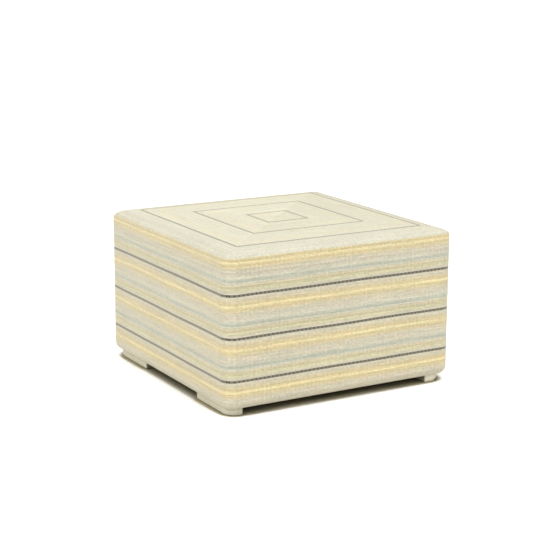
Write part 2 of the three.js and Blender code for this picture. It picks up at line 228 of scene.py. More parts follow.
def flat_place(group, along, rows):
    place = add_node(group, "ShaderNodeCombineXYZ")
    feed(group, along, place.inputs[0])
    feed(group, rows, place.inputs[1])
    return place.outputs[0]


def stretched_noise(group, along, rows, steps, detail, start=0.0):
    """Noise with its own number of steps to a stitch and to a row."""
    noise = add_node(group, "ShaderNodeTexNoise")
    along_steps = sum_of(group, "MULTIPLY_ADD", along, steps[0], start)
    row_steps = sum_of(group, "MULTIPLY", rows, steps[1])
    feed(group, flat_place(group, along_steps, row_steps), noise.inputs["Vector"])
    noise.inputs["Scale"].default_value = 1.0
    noise.inputs["Detail"].default_value = detail
    return noise.outputs[0]


def drawn_for_each(group, dimensions, socket, place):
    """A number from 0 to 1, drawn anew for each whole place."""
    noise = add_node(group, "ShaderNodeTexWhiteNoise", noise_dimensions=dimensions)
    feed(group, place, noise.inputs[socket])
    return noise.outputs["Value"]


def strand_height(group, from_middle, from_crest, fibre):
    """A rounded bead for each stitch, with fine ridges of fibre on it."""
    round_row = sum_of(group, "SUBTRACT", 1.0, sum_of(group, "POWER", from_crest, 2.0))
    round_stitch = sum_of(group, "SUBTRACT", 1.0, sum_of(group, "POWER", from_middle, 4.0))
    bead = sum_of(group, "MULTIPLY", round_row, round_stitch)
    return sum_of(group, "ADD", bead, swing(group, fibre, FIBRE_RIDGES))


# %% Node group: stitches
FIBRE_STEPS, STREAK_STEPS, DRIFT_STEPS, DRIFT_START = (0.9, 7.0), (0.05, 5.3), (0.06, 3.7), 50.0
GROOVE_START, FIBRE_RIDGES = 0.62, 0.35
STITCH_OUTPUTS = [
    "Row", "Gap", "Under", "Groove", "Row Tone", "Stitch Tone", "Streak", "Drift", "Fibre", "Height",
    "Shade",
]


def make_stitches():
    group, given, result = new_group(
        "stitches",
        [("Place", "Vector"), ("Slant", "Float", 0.25), ("Gap Width", "Float", 0.3)],
        [(title, "Float") for title in STITCH_OUTPUTS],
    )
    apart = add_node(group, "ShaderNodeSeparateXYZ")
    feed(group, given["Place"], apart.inputs[0])
    # The place's third number is how much painted shade a piece gets
    along, rows, shade = apart.outputs
    row, across = parted(group, rows)
    leaned = sum_of(group, "ADD", along, swing(group, across, given["Slant"]))
    stitch, share = parted(group, leaned)
    from_middle, from_crest = around_middle(group, share), around_middle(group, across)
    gap_start = sum_of(group, "SUBTRACT", 1.0, given["Gap Width"])
    fibre = stretched_noise(group, leaned, rows, FIBRE_STEPS, detail=2.0)
    found = {
        "Row": row,
        "Gap": span(group, from_middle, gap_start, 1.0, 0.0, 1.0),
        "Under": sum_of(group, "FLOORED_MODULO", stitch, 2.0),
        "Groove": span(group, from_crest, GROOVE_START, 1.0, 0.0, 1.0),
        "Row Tone": drawn_for_each(group, "1D", "W", row),
        "Stitch Tone": drawn_for_each(group, "2D", "Vector", flat_place(group, stitch, row)),
        "Streak": stretched_noise(group, along, row, STREAK_STEPS, detail=1.0),
        "Drift": stretched_noise(group, along, row, DRIFT_STEPS, detail=1.0, start=DRIFT_START),
        "Fibre": fibre,
        "Height": strand_height(group, from_middle, from_crest, fibre),
        "Shade": shade,
    }
    for title in STITCH_OUTPUTS:
        feed(group, found[title], result[title])
    return group


stitches = make_stitches()
print("stitches gives", [s.name for s in stitches.interface.items_tree if s.in_out == "OUTPUT"])

# %% [markdown]
# ## Effect: the order of the stripes
# The weaver works through one list of strands again and again: a dark pair of rows, then cream,
# warm tan round a bright pale yellow, oat, a misty grey-green line, straw, and dark again. A
# picture could hold this, but a colour ramp says it better: its stops are the list. The ramp is
# read once for each row, so that every row has one strand's colour from end to end.

# %% Node group: stripe order
DARK, CREAM, SAND = srgb(30, 26, 22), srgb(222, 214, 190), srgb(225, 211, 176)
TAN, BRIGHT, OAT = srgb(226, 208, 156), srgb(249, 232, 180), srgb(216, 206, 182)
LEAF, MIST, LIME = srgb(217, 214, 192), srgb(196, 198, 179), srgb(214, 205, 162)
STRAW = srgb(223, 216, 177)
ROWS_LISTED = 34
# Half the width of the dark pair, as a share of the whole list
DARK_REACH = 0.0275

# Rows counted from the middle of the dark pair, and the strand that is on them
STRIPES = [
    (0, DARK), (1, CREAM), (2, CREAM), (4, SAND), (6, TAN), (7, TAN), (8, BRIGHT), (9, BRIGHT),
    (10, TAN), (11, TAN), (13, SAND), (15, CREAM), (17, OAT), (18, CREAM), (20, LEAF), (22, MIST),
    (23, MIST), (24, LEAF), (26, SAND), (27, LIME), (28, LIME), (29, STRAW), (30, STRAW), (31, CREAM),
    (32, CREAM), (33, DARK),
]


def make_stripe_order():
    group, given, result = new_group(
        "stripe_order",
        [("Row", "Float"), ("Dark Row", "Float"), ("Rows In Repeat", "Float", float(ROWS_LISTED)),
         ("Pale", "Color"), ("Fade", "Float", 0.0)],
        [("Colour", "Color"), ("Dark", "Float")],
    )
    middle = sum_of(group, "ADD", given["Row"], 0.5)
    steps = sum_of(group, "SUBTRACT", middle, given["Dark Row"])
    share = sum_of(group, "FRACT", sum_of(group, "DIVIDE", steps, given["Rows In Repeat"]))
    ramp = add_node(group, "ShaderNodeValToRGB")
    feed(group, share, ramp.inputs[0])
    stops = ramp.color_ramp.elements
    while len(stops) < len(STRIPES):
        stops.new(0.5)
    for stop, (row, colour) in zip(stops, STRIPES):
        stop.position = (row + 0.5) / ROWS_LISTED
        stop.color = colour
    near = sum_of(group, "PINGPONG", share, 0.5)
    dark = sum_of(group, "LESS_THAN", near, DARK_REACH)
    faded = mixed(group, given["Fade"], ramp.outputs["Color"], given["Pale"])
    feed(group, mixed(group, dark, faded, DARK), result["Colour"])
    feed(group, dark, result["Dark"])
    return group


stripe_order = make_stripe_order()
print("stops in the stripe list:", len(STRIPES))

# %% [markdown]
# ## Effect: strand dye
# No two spools are quite alike. This group takes a strand's colour and what the stitches group
# says, and gives back the colour that shows: lighter or darker row by row, stitch by stitch and
# along each row, the upright's own colour in the gaps, and painted shade in the grooves between
# rows. Where a spool's hue drifts, red rises as blue falls.

# %% Node group: strand dye
UNEVEN = {"Row Tone": 0.12, "Stitch Tone": 0.2, "Streak": 0.42, "Fibre": 0.16, "Under": -0.035}
PATCHY, PATCHES_IN_METRE, WARMER = 0.06, 9.0, 0.16
SLEEK, DULL = 0.42, 0.58
# Colour of the painted shade in the grooves between rows
PAINTED_GROOVE_SHADE = srgb(96, 86, 62)


def uneven_tone(group, given):
    """About 1, with each thing that varies added as a swing about nothing."""
    coordinates = add_node(group, "ShaderNodeTexCoord")
    patches = add_node(group, "ShaderNodeTexNoise")
    feed(group, coordinates.outputs["Object"], patches.inputs["Vector"])
    patches.inputs["Scale"].default_value = PATCHES_IN_METRE
    patches.inputs["Detail"].default_value = 1.0
    tone = 1.0
    for title, scale in UNEVEN.items():
        tone = sum_of(group, "ADD", tone, swing(group, given[title], scale))
    return sum_of(group, "ADD", tone, swing(group, patches.outputs[0], PATCHY))


def make_strand_dye():
    group, given, result = new_group(
        "strand_dye",
        [("Strand", "Color"), ("Upright", "Color"), ("Gap", "Float"), ("Groove", "Float"),
         ("Under", "Float"), ("Row Tone", "Float"), ("Stitch Tone", "Float"), ("Streak", "Float"),
         ("Drift", "Float"), ("Fibre", "Float"), ("Gap Shows", "Float", 0.4),
         ("Groove Shade", "Float", 0.25)],
        [("Colour", "Color"), ("Roughness", "Float")],
    )
    tone = uneven_tone(group, given)
    warmth = swing(group, given["Drift"], WARMER)
    tint = add_node(group, "ShaderNodeCombineColor")
    feed(group, sum_of(group, "ADD", tone, warmth), tint.inputs[0])
    feed(group, tone, tint.inputs[1])
    feed(group, sum_of(group, "SUBTRACT", tone, warmth), tint.inputs[2])
    toned = mixed(group, 1.0, given["Strand"], tint.outputs[0], "MULTIPLY")
    gap = sum_of(group, "MULTIPLY", given["Gap"], given["Gap Shows"])
    gapped = mixed(group, gap, toned, given["Upright"])
    # Painted shade in the grooves between rows
    groove = sum_of(group, "MULTIPLY", given["Groove"], given["Groove Shade"])
    feed(group, mixed(group, groove, gapped, PAINTED_GROOVE_SHADE), result["Colour"])
    feed(group, span(group, given["Fibre"], 0.3, 0.7, SLEEK, DULL), result["Roughness"])
    return group


strand_dye = make_strand_dye()

# %% [markdown]
# ## Finish: the woven strands
# The side skin, the top skin and the foot wraps share one recipe and differ in their stripes.
# Each could be a material painted by hand. Instead one function joins the groups, and its
# arguments say where the dark rows fall, how far the stripes fade, and which strand is on the
# plain rows before and after the stripes. On dark rows more of the pale uprights shows, and every
# other stitch partly hides under them, so that these rows look dotted. The innermost rows of the
# top can make a small dot of tan. The gloss is that of drawn plastic strand: soft, and bright
# only where the eye skims over it.

# %% Material: woven strands
# The top's plain strand is the side's plain strand painted lighter, as painted light
UPRIGHT, PLAIN, PLAIN_PAINTED_LIGHTER = srgb(212, 202, 174), srgb(228, 224, 203), srgb(236, 232, 211)
# The feet's strand is the hem's strand painted lighter, as painted light against the shade under the body
HEMP, HEMP_PAINTED_LIGHTER = srgb(212, 204, 179), srgb(234, 227, 202)
# Colour of the painted shade that some pieces get
PAINTED_SHADE_BROWN = srgb(52, 45, 28)
PARTLY_HIDDEN, GAP_SHOWS, MORE_ON_DARK, GROOVE_SHADE = 0.33, 0.35, 0.35, 0.3
PASSED_ON = ["Groove", "Under", "Row Tone", "Stitch Tone", "Streak", "Drift", "Fibre"]


def strand_on_row(tree, row, striped, before, after, stripes, dot_row):
    """The strand on each row, and 1 on the rows that are striped."""
    begun = sum_of(tree, "GREATER_THAN", row, striped[0] - 0.5)
    going = sum_of(tree, "LESS_THAN", row, striped[1] - 0.5)
    strand = mixed(tree, begun, before, mixed(tree, going, after, stripes))
    if dot_row is not None:
        in_dot = sum_of(tree, "GREATER_THAN", row, dot_row - 0.5)
        strand = mixed(tree, in_dot, strand, TAN)
    return strand, sum_of(tree, "MULTIPLY", begun, going)


def woven_material(
        name, dark_row, rows_in_repeat, striped, before, after, pale=CREAM, fade=0.0, dot_row=None):
    """Striped strands between the two rows of striped, plain ones before and after them."""
    material, tree, surface = new_material(name)
    place = add_node(tree, "ShaderNodeAttribute", attribute_name="weave")
    weave = use_group(tree, stitches, Place=place.outputs["Vector"])
    order = use_group(
        tree, stripe_order, Row=weave["Row"], Dark_Row=dark_row,
        Rows_In_Repeat=rows_in_repeat, Pale=pale, Fade=fade)
    strand, in_stripes = strand_on_row(
        tree, weave["Row"], striped, before, after, order["Colour"], dot_row)
    dark = sum_of(tree, "MULTIPLY", order["Dark"], in_stripes)
    hidden = sum_of(tree, "MULTIPLY", sum_of(tree, "MULTIPLY", weave["Under"], dark), PARTLY_HIDDEN)
    dye = use_group(
        tree, strand_dye, Strand=strand, Upright=UPRIGHT, Groove_Shade=GROOVE_SHADE,
        Gap=sum_of(tree, "MAXIMUM", weave["Gap"], hidden),
        Gap_Shows=sum_of(tree, "MULTIPLY_ADD", dark, MORE_ON_DARK, GAP_SHOWS),
        **{title: weave[title] for title in PASSED_ON})
    # Painted shade: the weave's third number mixes the colour towards dark brown
    shaded = mixed(tree, weave["Shade"], dye["Colour"], PAINTED_SHADE_BROWN)
    feed(tree, shaded, surface.inputs["Base Color"])
    feed(tree, dye["Roughness"], surface.inputs["Roughness"])
    raise_surface(tree, surface, weave["Height"], strength=0.5, distance=0.0006)
    surface.inputs["Specular IOR Level"].default_value = 0.5
    surface.inputs["Sheen Weight"].default_value = 1.0
    surface.inputs["Sheen Roughness"].default_value = 0.5
    surface.inputs["Sheen Tint"].default_value = srgb(255, 248, 222)
    return material


# %% [markdown]
# ## The weave's count
# Stripes have to meet round the corners and at the mitres, so the skin is counted as a weaver
# counts it: a whole number of stitches along each side and of rows from hem to middle. The dark
# pairs on the sides are 34 rows apart. The top is woven a little tighter, 36 rows apart, and its
# stitches are twice as long as its rows are high, which makes the mitres run at 45 degrees. Each
# panel starts its count far from the others, so that no two are uneven in the same way.

# %% Count stitches and rows
TOP_ROWS = 103
CORNER_STITCHES = 8
TOP_PITCH = FLAT / TOP_ROWS
STITCH = 2 * TOP_PITCH
FIRST_RING, TOP_REPEAT = 11, 36

LOWEST_DARK, HIGHEST_DARK = 27, 95
LOWEST_DARK_Z, HIGHEST_DARK_Z = 0.0874, 0.2922
SIDE_PITCH = (HIGHEST_DARK_Z - LOWEST_DARK_Z) / (HIGHEST_DARK - LOWEST_DARK)
SIDE_REPEAT = 34
FIRST_STRIPED_ROW, LAST_STRIPED_ROW, SIDE_ROWS = 9, 124, 134
FAR_APART = 300
print("stitch", round(STITCH * 1000, 2), "rows", round(SIDE_PITCH * 1000, 2), round(TOP_PITCH * 1000, 2))

# %% Mix the three woven finishes
side_finish = woven_material(
    "striped_side_weave", HIGHEST_DARK, -SIDE_REPEAT, (FIRST_STRIPED_ROW, LAST_STRIPED_ROW),
    before=HEMP, after=PLAIN)
# The top's pale colours are lifted as painted light, besides the real fading of its stripes
top_finish = woven_material(
    "striped_top_weave", FIRST_RING, TOP_REPEAT, (FIRST_RING - 1, 2 * TOP_ROWS),
    before=PLAIN_PAINTED_LIGHTER, after=PLAIN_PAINTED_LIGHTER, pale=srgb(250, 246, 221), fade=0.82, dot_row=TOP_ROWS - 2)
foot_finish = woven_material(
    "plain_foot_weave", 0, SIDE_REPEAT, (0, 0), before=HEMP_PAINTED_LIGHTER, after=HEMP_PAINTED_LIGHTER)
print("woven finishes:", [finish.name for finish in (side_finish, top_finish, foot_finish)])

# %% [markdown]
# ## Shape of a woven ring
# The skin round the body and the wrap round a foot are the same thing: an outline seen from
# above, and a profile seen from the side. A plain tube with a bump texture would keep a smooth
# edge against the light. So every row is modelled: the surface sinks into the groove between two
# rows, and swells at every upright. Two points to a row and three to a stitch are enough for that.

# %% Outline of a ring
POINTS_IN_STITCH = 3


def rounded_outline(low, high, radii, corner_stitches):
    """Once round a rounded rectangle: points and outward directions."""
    (left, front), (right, back) = low, high
    corners = [(left, front, 1, 1), (right, front, -1, 1), (right, back, -1, -1), (left, back, 1, -1)]
    centres = [np.array([x + sx * r, y + sy * r]) for (x, y, sx, sy), r in zip(corners, radii)]
    points, outward = [], []
    for k in range(4):
        start, count = math.pi * (1 + k / 2), corner_stitches[k] * POINTS_IN_STITCH
        angles = start + math.pi / 2 * np.arange(count) / count
        way = np.stack([np.cos(angles), np.sin(angles)], 1)
        end_way = np.array([math.cos(start + math.pi / 2), math.sin(start + math.pi / 2)])
        first = centres[k] + radii[k] * end_way
        last = centres[(k + 1) % 4] + radii[(k + 1) % 4] * end_way
        count = max(1, round(np.linalg.norm(last - first) / STITCH)) * POINTS_IN_STITCH
        points += [centres[k] + radii[k] * way, first + (last - first) * np.arange(count)[:, None] / count]
        outward += [way, np.repeat(end_way[None], count, 0)]
    return np.concatenate(points), np.concatenate(outward)


# %% Profile of a ring
def drawn_profile(insets, heights):
    """A profile drawn as points: its path length, inset, height and upward lean at each."""
    steps = np.hypot(np.diff(insets), np.diff(heights))
    path = np.concatenate([[0], np.cumsum(steps)])
    lean = np.arctan2(np.gradient(insets, path), np.gradient(heights, path))
    return path, insets, heights, lean


def skin_at(profile, path, depth=0.0):
    """Inset, height and lean at a length of path, at a depth below the surface."""
    inset, height, lean = [np.interp(path, profile[0], values) for values in profile[1:]]
    return inset + depth * np.cos(lean), height - depth * np.sin(lean), lean


def ring_points(points, outward, inset, height, lean, raised):
    """Places the outline's points at each row of a profile, raised along the surface normal."""
    flat = np.cos(lean)[..., None] * outward[None]
    up = np.broadcast_to(np.sin(lean)[..., None], raised.shape + (1,))
    normal = np.concatenate([np.broadcast_to(flat, raised.shape + (2,)), up], -1)
    base = np.concatenate([points[None] - inset[..., None] * outward[None], height[..., None]], -1)
    return base + raised[..., None] * normal, normal


# %% [markdown]
# ## Relief and sway
# Handwork is never quite even: a row sways by a fraction of a millimetre, and stitches differ a
# little in height. Both come from fixed sums of waves and a seeded random draw, so that the
# skin is the same each time it is woven. The waves go a whole number of times round the box,
# so that the last stitch meets the first.

# %% Relief of the weave
RELIEF = 0.0009
PINCH = 0.866
# Share of the relief that a strand keeps where it is pinched, and how far stitches differ
KEPT, UNEVEN_STITCHES = 0.35, 0.25
SWAY = 0.0004


def stitch_relief(along, rows, seed):
    """Height of the strands over the skin's middle level, for places in stitches and rows."""
    crest = np.sin(np.pi * rows) ** 2
    bead = 1 - PINCH * np.abs(np.sin(np.pi * along))
    uneven = 1 + UNEVEN_STITCHES * (np.random.default_rng(seed).random(crest.shape) - 0.5)
    return RELIEF * (crest * (KEPT + (1 - KEPT) * bead) * uneven - 0.5)


def row_sway(turn, rows, last_row):
    waves = np.sin(9 * turn + rows * 0.06) + 0.6 * np.sin(4 * turn - rows * 0.11 + 2)
    return SWAY * waves * np.sin(np.pi * np.clip(rows / last_row, 0, 1))


# %% [markdown]
# ## From grids to closed meshes
# A woven piece is a sheet with a face, a back and edges. The back could be a Solidify modifier,
# but it would copy every stitch. Here the back is a coarse run of rows that closes the profile
# into a loop, and flat ends close the cuts. Each mesh carries its place in the weave for the
# finish, its own normals, so that light runs on unbroken from panel to panel, and a flat map.

# %% Build a mesh from points and faces
def mesh_object(name, points, faces, weave, normals, flat_map, material):
    mesh = bpy.data.meshes.new(name)
    mesh.from_pydata(points.reshape(-1, 3), [], faces)
    for title, values in (("weave", weave), ("woven_normal", normals)):
        layer = mesh.attributes.new(title, "FLOAT_VECTOR", "POINT")
        layer.data.foreach_set("vector", np.asarray(values, np.float32).ravel())
    corner = np.empty(len(mesh.loops), np.int32)
    mesh.loops.foreach_get("vertex_index", corner)
    layer = mesh.uv_layers.new(name="OFBake")
    layer.uv.foreach_set("vector", np.asarray(flat_map, np.float32).reshape(-1, 2)[corner].ravel())
    work = bmesh.new()
    work.from_mesh(mesh)
    bmesh.ops.remove_doubles(work, verts=work.verts, dist=1e-6)
    work.to_mesh(mesh)
    work.free()
    mesh.shade_smooth()
    kept = np.empty(len(mesh.vertices) * 3, np.float32)
    mesh.attributes["woven_normal"].data.foreach_get("vector", kept)
    mesh.normals_split_custom_set_from_vertices(kept.reshape(-1, 3).tolist())
    mesh.attributes.remove(mesh.attributes["woven_normal"])
    mesh.materials.append(material)
    piece = bpy.data.objects.new(name, mesh)
    bpy.context.scene.collection.objects.link(piece)
    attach(piece, "root")
    return piece


# %% Grids and their normals
def unit(vectors, fallback):
    length = np.linalg.norm(vectors, axis=-1, keepdims=True)
    return np.where(length > 1e-12, vectors / np.maximum(length, 1e-12), fallback)


def grid_faces(rows, columns, wraps):
    """Quads of a grid whose profile runs in a closed loop. With wraps, the columns do too."""
    index = np.arange(rows * columns).reshape(rows, columns)
    right = np.roll(index, -1, 1)
    if not wraps:
        index, right = index[:, :-1], right[:, :-1]
    quads = np.stack([index, right, np.roll(right, -1, 0), np.roll(index, -1, 0)], -1)
    return quads.reshape(-1, 4).tolist()


def grid_normals(grid, fallback):
    across = np.roll(grid, -1, 1) - np.roll(grid, 1, 1)
    upward = np.gradient(grid, axis=0)
    return unit(np.cross(across, upward), fallback)


# %% [markdown]
# ## The body's side skin
# The side's profile starts under the hem, rounds the lower edge, runs straight up and eases over
# the top rail. Its upper part is a slightly squared ellipse, which is how taut weave leaves one
# support for the next. The skin is woven as one ring and then parted at the middle of each
# rounded corner, one panel for each side of the frame. The cut doesn't show, because both sides
# of it share their points and normals, and smaller pieces are easier to map.

# %% Profile of the body
quarter_turn = np.linspace(0, math.pi / 2, 200)
edge_inset = SHOULDER_INSET * (1 - np.cos(quarter_turn) ** (2 / ROUNDNESS))
edge_height = SHOULDER - SHOULDER_RISE * (1 - np.sin(quarter_turn) ** (2 / ROUNDNESS))
before_top = edge_inset < PLAN_RADIUS
last_height = np.interp(PLAN_RADIUS, edge_inset, edge_height)
hem_inset = LOW_EDGE_RADIUS * (1 - np.sin(quarter_turn))
hem_height = HEM + LOW_EDGE_RADIUS * (1 - np.cos(quarter_turn))
body_profile = drawn_profile(
    np.concatenate([hem_inset, edge_inset[before_top], [PLAN_RADIUS]]),
    np.concatenate([hem_height, edge_height[before_top], [last_height]]),
)
PATH_END = body_profile[0][-1]
DARK_PATH = LOW_EDGE_RADIUS * (math.pi / 2 - 1) + HIGHEST_DARK_Z - HEM
UPPER_PITCH = (PATH_END - DARK_PATH) / (SIDE_ROWS - HIGHEST_DARK)


def path_of_row(rows):
    pitch = np.where(rows > HIGHEST_DARK, UPPER_PITCH, SIDE_PITCH)
    return np.clip(DARK_PATH + (rows - HIGHEST_DARK) * pitch, 0, PATH_END)


print("skin from hem to top:", round(PATH_END * 1000, 1), "mm, upper rows", round(UPPER_PITCH * 1000, 2))

# %% Weave the ring
body_points, body_outward = rounded_outline(
    (-HALF, -HALF), (HALF, HALF), [PLAN_RADIUS] * 4, [CORNER_STITCHES] * 4)
COLUMNS = len(body_points)
along_ring, face_rows = np.meshgrid(
    np.arange(COLUMNS) / POINTS_IN_STITCH, np.arange(0, SIDE_ROWS + 0.25, 0.5))
sway = row_sway(along_ring * 2 * np.pi * POINTS_IN_STITCH / COLUMNS, face_rows, SIDE_ROWS)
inset, height, lean = skin_at(body_profile, np.clip(path_of_row(face_rows) + sway, 0, PATH_END))
relief = stitch_relief(along_ring, face_rows, seed=5)
face, rest = ring_points(body_points, body_outward, inset, height, lean, relief)
face[-1, :, :2] = body_points - PLAN_RADIUS * body_outward
face[-1, :, 2] = last_height - RELIEF / 2
face_normals = grid_normals(face, rest)
face_normals[-1] = rest[-1]
print("ring of", COLUMNS, "columns and", len(face_rows), "rows of points")

# %% Give the ring a back
# It has points only at a few rows, which lie closer where the profile turns
back_rows = np.array([SIDE_ROWS, 131, 128, 125, 122, 119, 95, 61, 27, 10, 8, 6, 4, 2, 0.5])
back_path = np.repeat(path_of_row(back_rows)[:, None], COLUMNS, 1)
inset, height, lean = skin_at(body_profile, back_path, THICKNESS)
reverse, inward = ring_points(
    body_points, body_outward, np.minimum(inset, PLAN_RADIUS), height, lean, np.zeros(lean.shape))
print("rows of points on the back:", len(back_rows))

# %% Part the ring into four panels
QUARTER = COLUMNS // 4
HALF_CORNER = CORNER_STITCHES * POINTS_IN_STITCH // 2
# Shares of the flat map's height that the face and the back take
MAP_OF_FACE, MAP_OF_BACK = 0.93, 0.05


def side_panel(k):
    pick = (HALF_CORNER + k * QUARTER + np.arange(QUARTER + 1)) % COLUMNS
    grid = np.concatenate([face[:, pick], reverse[:, pick]])
    normals = np.concatenate([face_normals[:, pick], -inward[:, pick]])
    along = np.arange(QUARTER + 1) / POINTS_IN_STITCH
    rows = np.concatenate([face_rows[:, 0], back_rows])
    weave = np.stack([*np.meshgrid(along + FAR_APART * k, rows), np.zeros(grid.shape[:2])], -1)
    share = np.concatenate(
        [MAP_OF_FACE * face_rows[:, 0] / SIDE_ROWS, 1 - MAP_OF_BACK * back_rows / SIDE_ROWS])
    flat_map = np.stack(np.meshgrid(along / along[-1], share), -1)
    faces = grid_faces(*grid.shape[:2], wraps=False)
    ends = np.arange(grid.shape[0] * grid.shape[1]).reshape(grid.shape[:2])
    faces += [ends[:, 0].tolist(), ends[::-1, -1].tolist()]
    piece = mesh_object(f"woven_side_{SIDES[k]}", grid, faces, weave, normals, flat_map, side_finish)
    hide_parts("side_weave")
    return piece


panels = [side_panel(k) for k in range(4)]
print("faces in a side panel:", len(panels[0].data.polygons))

# %% [markdown]
# ## The top skin
# On the top the rows are squares, one inside the other, and neighbouring sides meet on the
# diagonals. A fan of four triangular panels gives each side its own straight rows. All four are
# cut from one square grid, whose cells are split along the diagonals, so the mitres are sharp.
# The skin slopes up from the rail to the first square, and a little more to the second, where
# the crossing bars under it hold it flat. Its pale colours are lifted as painted light, and the
# front and right panels are brought a touch darker with painted shade, so that the left and
# back panels show lighter.

# %% Weave the top
CELLS = 4 * TOP_ROWS


def top_height(inset):
    """Height of the skin at an inset from the body's face."""
    reach = np.clip(1 - inset / SHOULDER_INSET, 0, 1) ** ROUNDNESS
    eased = SHOULDER_RISE * (1 - (1 - reach) ** (1 / ROUNDNESS))
    beyond = np.clip((inset - SHOULDER_INSET) / (FLAT_INSET - SHOULDER_INSET), 0, 1)
    return SHOULDER - eased + (SHOULDER_DROP - RELIEF / 2) * beyond * (2 - beyond)


steps = np.linspace(-FLAT, FLAT, CELLS + 1)
grid_x, grid_y = np.meshgrid(steps, steps)
reach = np.maximum(np.abs(grid_x), np.abs(grid_y))
along_side = np.where(np.abs(grid_x) < np.abs(grid_y), grid_x, grid_y)
relief = stitch_relief((along_side + FLAT) / STITCH, (FLAT - reach) / TOP_PITCH, seed=9)
top_z = top_height(HALF - reach) + relief
top_points = np.stack([grid_x, grid_y, top_z], -1).reshape(-1, 3)
slope_y, slope_x = np.gradient(top_z, steps, steps)
top_normals = unit(np.stack([-slope_x, -slope_y, np.ones_like(top_z)], -1), (0, 0, 1)).reshape(-1, 3)
print("top grid:", CELLS, "cells a side, from", round(top_z.min(), 4), "to", round(top_z.max(), 4))

# %% Faces of one mitred panel
MIDDLE = CELLS // 2


def panel_faces(local):
    """Faces of the front panel of a turned grid, split along the two diagonals."""
    faces = []
    for j in range(MIDDLE):
        i = np.arange(j, CELLS - j)
        near_left, near_right = local[j, i], local[j, i + 1]
        far_left, far_right = local[j + 1, i], local[j + 1, i + 1]
        left = i < MIDDLE
        low = np.stack([near_left, near_right, np.where(left, far_right, far_left)], -1)
        high = np.stack([np.where(left, near_left, near_right), far_right, far_left], -1)
        faces += low.tolist() + high[1:-1].tolist()
    return faces


def closing_faces(local, below):
    """Edges and a coarse underside, in three bands from the rim to the middle."""
    step = np.arange(MIDDLE + 1)
    left, right, rim = local[step, step], local[step, CELLS - step], local[0]
    around = np.concatenate([rim, right[1:], left[::-1][1:-1]])
    after = np.roll(around, -1)
    faces = np.stack([around, below[around], below[after], after], -1).tolist()
    bands = [0, *[round((x - PLAN_RADIUS) / FLAT * MIDDLE) for x in (SHOULDER_INSET, FLAT_INSET)], MIDDLE]
    for start, end in zip(bands, bands[1:]):
        loop = [*left[start:end + 1], *right[start:end + 1][::-1][end == MIDDLE:]]
        loop += list(rim[1:-1][::-1]) if start == 0 else []
        faces.append([int(below[v]) for v in loop])
    return faces


# %% Cut the four panels from the grid
# Share of painted shade, mixed towards dark brown, in the panels that are a touch darker
TOP_PAINTED_SHADE = {"front": 0.085, "right": 0.065}
# Where the face ends and the underside starts in the flat map's height
MAP_OF_TOP, MAP_OF_UNDER = 0.9, 0.92


def top_panel(k):
    total = (CELLS + 1) ** 2
    local = np.rot90(np.arange(total).reshape(CELLS + 1, CELLS + 1), k)
    faces = panel_faces(local) + closing_faces(local, np.arange(total) + total)
    used = np.unique(np.concatenate([np.ravel(f) for f in faces]))
    renumbered = np.zeros(2 * total, np.int64)
    renumbered[used] = np.arange(len(used))
    faces = [renumbered[f].tolist() for f in faces]
    points, normals = top_points[used % total], top_normals[used % total]
    under = used >= total
    points[under, 2] -= THICKNESS
    normals[under] *= -1
    straight = points @ np.array(Matrix.Rotation(k * math.pi / 2, 3, "Z"))
    share_x, share_y = (straight[:, 0] + FLAT) / (2 * FLAT), (straight[:, 1] + FLAT) / FLAT
    # Painted shade for the front and right panels
    shade = np.full(len(share_x), TOP_PAINTED_SHADE.get(SIDES[k], 0.0))
    weave = np.stack([share_x * TOP_ROWS + FAR_APART * k, share_y * TOP_ROWS, shade], -1)
    map_y = np.where(under, MAP_OF_UNDER + share_y * (1 - MAP_OF_UNDER), share_y * MAP_OF_TOP)
    flat_map = np.stack([share_x, map_y], -1)
    piece = mesh_object(f"woven_top_{SIDES[k]}", points, faces, weave, normals, flat_map, top_finish)
    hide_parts("top_weave")
    return piece


tops = [top_panel(k) for k in range(4)]
print("faces in a top panel:", len(tops[0].data.polygons))

# %% [markdown]
# ## The foot wraps
# Each foot is wrapped in the plain strand, painted lighter than the hem's strand as painted light
# against the shade under the body. The wrap is the same kind of ring as the body's skin, with a
# small radius under it. Its outer corner is broad, because it follows the stool's own corner, and
# its inner end is nearly square. It runs up into the body's rounded lower edge, so that no gap
# shows between them, and hangs over the side of the glide, which shows only as a thin line. The
# right feet are wrapped a little fuller on the inside and rounder on the outside, and the left
# ones slimmer. The sides that face the dark under the stool get painted shade: their colour is
# mixed towards a dark brown. The near foot's front gets a little painted shade too.

# %% Outline, profile and shade of a foot wrap
FOOT_EASED, FOOT_EDGE, FOOT_SOLE = 0.0035, 0.0015, 0.0019
FOOT_LAP, FOOT_HANG, FOOT_ROWS = 0.0045, 0.0022, 7
FOOT_CORNER = {"left": 0.028, "right": 0.036}
FULLER = {"left": -0.005, "right": 0.011}
# Painted shade: how far the sides under the stool and the near foot's front are mixed to dark brown
PAINTED_SHADE_INSIDE = 0.85
PAINTED_SHADE_FRONT = {"front_left": 0.3}


def foot_box(corner):
    """The box of the frame's own plain wrap, made fuller or slimmer on the inside."""
    low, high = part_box(f"foot_weave_{corner}")
    if corner.endswith("right"):
        low.x -= FULLER["right"]
    else:
        high.x += FULLER["left"]
    return low, high


def foot_profile(low, high):
    around = np.linspace(0, math.pi / 2, 12)
    return drawn_profile(
        np.concatenate([[FOOT_SOLE], FOOT_EDGE * (1 - np.sin(around)), [0]]),
        np.concatenate([[low], low + FOOT_EDGE * (1 - np.cos(around)), [high + FOOT_LAP]]),
    )


def painted_foot_shade(corner, outward, middle):
    """Painted shade at each of the wrap's directions: most inwards, some on the near foot's front."""
    inwards = np.max(-outward * np.sign(middle), axis=1)
    dirt_and_shade = PAINTED_SHADE_FRONT.get(corner, 0) * np.clip(-outward[:, 1], 0, 1)
    return np.clip(3 * inwards - 2, 0, PAINTED_SHADE_INSIDE) + dirt_and_shade


